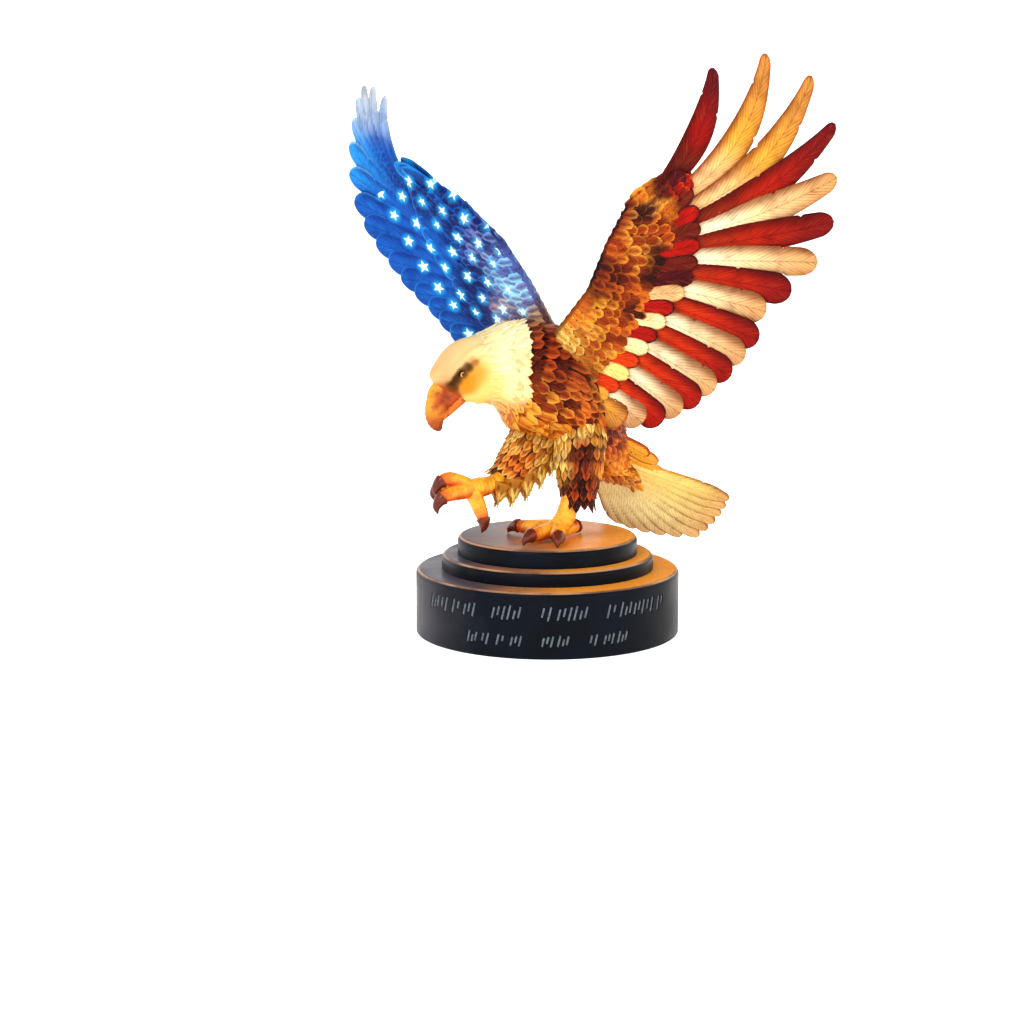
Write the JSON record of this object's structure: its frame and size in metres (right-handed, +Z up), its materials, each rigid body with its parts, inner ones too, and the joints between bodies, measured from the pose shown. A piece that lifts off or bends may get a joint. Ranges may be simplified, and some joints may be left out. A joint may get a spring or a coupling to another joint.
{
  "type": "garden eagle statue",
  "caption": "Painted resin eagle alighting on a round stepped plinth, wings raised and tail spread; stands by its own weight.",
  "frame": {"origin": "centre of the plinth's flat underside", "axes": "+Z up along the plinth's axis, -Y towards the plinth's front, +X to the right seen from the front"},
  "size_m": [0.2329, 0.1326, 0.2796],
  "materials": {
    "eagle": "painted resin, satin to gloss",
    "plinth": "black lacquer, glossy",
    "pale_feathers": "cream paint, satin",
    "brown_feathers": "brown paint with orange edges, satin",
    "striped_feathers": "red and cream paint, satin",
    "blue_feathers": "blue paint with pale stars, satin",
    "beak_and_feet": "yellow-orange paint, glossy",
    "talons": "dark brown paint, glossy",
    "lettering": "grey paint in shallow strokes"
  },
  "bodies": {
    "root": {"eagle": "eagle", "plinth": "plinth"}
  },
  "joints": []
}
